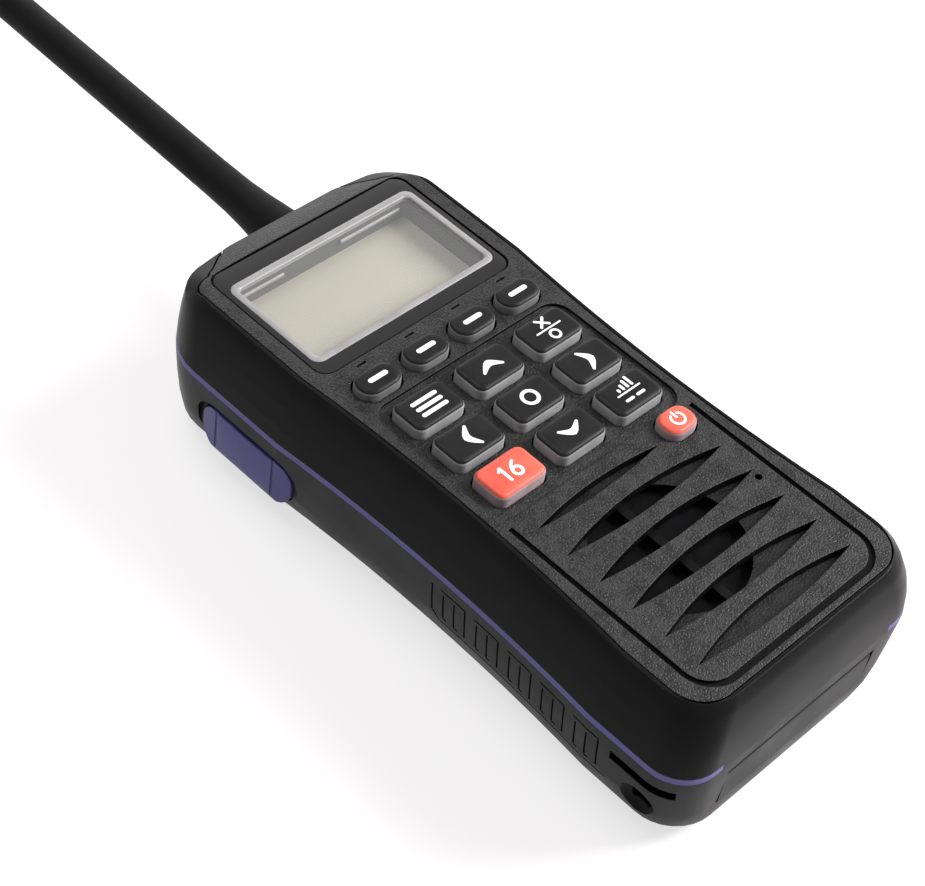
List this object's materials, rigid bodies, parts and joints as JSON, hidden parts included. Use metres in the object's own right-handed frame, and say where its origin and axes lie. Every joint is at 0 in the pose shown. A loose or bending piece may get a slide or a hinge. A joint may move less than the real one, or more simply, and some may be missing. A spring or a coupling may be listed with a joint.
{
  "type": "handheld marine radio",
  "caption": "Handheld marine radio lying on its back, with display, rubber keys, slotted speaker, talk key, stub antenna and latched battery pack.",
  "frame": {"origin": "middle of the flat back, on the battery pack's outer face, half way along the case without its antenna", "axes": "+Y along the case to the antenna, +Z out of the face with the display and keys, +X to the right as the face is read"},
  "size_m": [0.065, 0.2865, 0.037],
  "materials": {
    "case_plastic": "smooth satin black moulded case",
    "face_plastic": "finely grained dark grey face",
    "trim_plastic": "violet-blue moulded trim",
    "gasket_rubber": "soft black seal",
    "lens_acrylic": "glossy dark lens with a clear window",
    "lcd_glass": "grey-green reflective display",
    "light_guide": "milky light guide",
    "mat_silicone": "grey silicone mat",
    "board_laminate": "green circuit laminate",
    "key_black": "silicone key with a black painted cap",
    "key_red": "silicone key with a coral red painted cap",
    "steel_parts": "plain steel",
    "cone_film": "dark speaker cone",
    "seal_film": "black acoustic membrane",
    "chassis_alloy": "die-cast alloy",
    "ceramic_patch": "pale ceramic block",
    "antenna_rubber": "matt black rubber sleeve",
    "brass_parts": "turned brass",
    "switch_plastic": "black switch body",
    "pack_plastic": "fine matt black plastic",
    "cell_foil": "foil-wrapped cells",
    "gold_contacts": "gold-plated contacts"
  },
  "bodies": {
    "radio": {"front_housing": "case_plastic", "face_plate": "face_plastic", "rear_housing": "case_plastic", "seam_trim": "trim_plastic", "case_gasket": "gasket_rubber", "display_lens": "lens_acrylic", "lcd_panel": "lcd_glass", "lcd_backlight": "light_guide", "keypad_mat": "mat_silicone", "key_board": "board_laminate", "speaker_frame": "steel_parts", "speaker_cone": "cone_film", "speaker_seal": "seal_film", "microphone": "steel_parts", "mic_boot": "gasket_rubber", "main_board": "board_laminate", "shield_can": "steel_parts", "chassis": "chassis_alloy", "gps_antenna": "ceramic_patch", "antenna_whip": "antenna_rubber", "antenna_stud": "brass_parts", "antenna_socket": "brass_parts", "ptt_switch": "switch_plastic", "ptt_board": "board_laminate", "radio_contacts": "gold_contacts", "pack_seal": "gasket_rubber", "clip_inserts": "brass_parts", "case_screws": "steel_parts", "board_screws": "steel_parts"},
    "soft_key_1_body": {"soft_key_1": "key_black"},
    "soft_key_2_body": {"soft_key_2": "key_black"},
    "soft_key_3_body": {"soft_key_3": "key_black"},
    "soft_key_4_body": {"soft_key_4": "key_black"},
    "key_menu_body": {"key_menu": "key_black"},
    "key_up_arrow_body": {"key_up_arrow": "key_black"},
    "key_clear_body": {"key_clear": "key_black"},
    "key_left_arrow_body": {"key_left_arrow": "key_black"},
    "key_ok_body": {"key_ok": "key_black"},
    "key_right_arrow_body": {"key_right_arrow": "key_black"},
    "key_call_body": {"key_call": "key_red"},
    "key_down_arrow_body": {"key_down_arrow": "key_black"},
    "key_volume_body": {"key_volume": "key_black"},
    "key_power_body": {"key_power": "key_red"},
    "ptt_body": {"ptt_button": "trim_plastic"},
    "latch_body": {"battery_latch": "pack_plastic", "latch_pin": "steel_parts"},
    "pack_body": {"pack_shell": "pack_plastic", "pack_lid": "pack_plastic", "pack_cells": "cell_foil", "pack_board": "board_laminate", "pack_contacts": "gold_contacts", "charge_contacts": "gold_contacts"}
  },
  "joints": [
    {"name": "soft_key_1_press", "type": "slide", "parent": "radio", "child": "soft_key_1_body", "axis": [0, 0, -1], "range_m": [0, 0.0008], "stiffness_N_per_m": 1500},
    {"name": "soft_key_2_press", "type": "slide", "parent": "radio", "child": "soft_key_2_body", "axis": [0, 0, -1], "range_m": [0, 0.0008], "stiffness_N_per_m": 1500},
    {"name": "soft_key_3_press", "type": "slide", "parent": "radio", "child": "soft_key_3_body", "axis": [0, 0, -1], "range_m": [0, 0.0008], "stiffness_N_per_m": 1500},
    {"name": "soft_key_4_press", "type": "slide", "parent": "radio", "child": "soft_key_4_body", "axis": [0, 0, -1], "range_m": [0, 0.0008], "stiffness_N_per_m": 1500},
    {"name": "key_menu_press", "type": "slide", "parent": "radio", "child": "key_menu_body", "axis": [0, 0, -1], "range_m": [0, 0.0008], "stiffness_N_per_m": 1500},
    {"name": "key_up_arrow_press", "type": "slide", "parent": "radio", "child": "key_up_arrow_body", "axis": [0, 0, -1], "range_m": [0, 0.0008], "stiffness_N_per_m": 1500},
    {"name": "key_clear_press", "type": "slide", "parent": "radio", "child": "key_clear_body", "axis": [0, 0, -1], "range_m": [0, 0.0008], "stiffness_N_per_m": 1500},
    {"name": "key_left_arrow_press", "type": "slide", "parent": "radio", "child": "key_left_arrow_body", "axis": [0, 0, -1], "range_m": [0, 0.0008], "stiffness_N_per_m": 1500},
    {"name": "key_ok_press", "type": "slide", "parent": "radio", "child": "key_ok_body", "axis": [0, 0, -1], "range_m": [0, 0.0008], "stiffness_N_per_m": 1500},
    {"name": "key_right_arrow_press", "type": "slide", "parent": "radio", "child": "key_right_arrow_body", "axis": [0, 0, -1], "range_m": [0, 0.0008], "stiffness_N_per_m": 1500},
    {"name": "key_call_press", "type": "slide", "parent": "radio", "child": "key_call_body", "axis": [0, 0, -1], "range_m": [0, 0.0008], "stiffness_N_per_m": 1500},
    {"name": "key_down_arrow_press", "type": "slide", "parent": "radio", "child": "key_down_arrow_body", "axis": [0, 0, -1], "range_m": [0, 0.0008], "stiffness_N_per_m": 1500},
    {"name": "key_volume_press", "type": "slide", "parent": "radio", "child": "key_volume_body", "axis": [0, 0, -1], "range_m": [0, 0.0008], "stiffness_N_per_m": 1500},
    {"name": "key_power_press", "type": "slide", "parent": "radio", "child": "key_power_body", "axis": [0, 0, -1], "range_m": [0, 0.0008], "stiffness_N_per_m": 1500},
    {"name": "ptt_press", "type": "slide", "parent": "radio", "child": "ptt_body", "axis": [1, 0, 0], "range_m": [0, 0.0012], "stiffness_N_per_m": 2500},
    {"name": "pack_lift", "type": "slide", "parent": "radio", "child": "pack_body", "axis": [0, 0, -1], "range_m": [0, 0.008]},
    {"name": "latch_swing", "type": "hinge", "parent": "radio", "child": "latch_body", "pos_m": [0, -0.0664, 0.0153], "axis": [-1, 0, 0], "range_deg": [0, 76]}
  ],
  "couplings": [
    {"joint": "latch_swing", "follows": "pack_lift", "rad_per_m": 163.6}
  ]
}
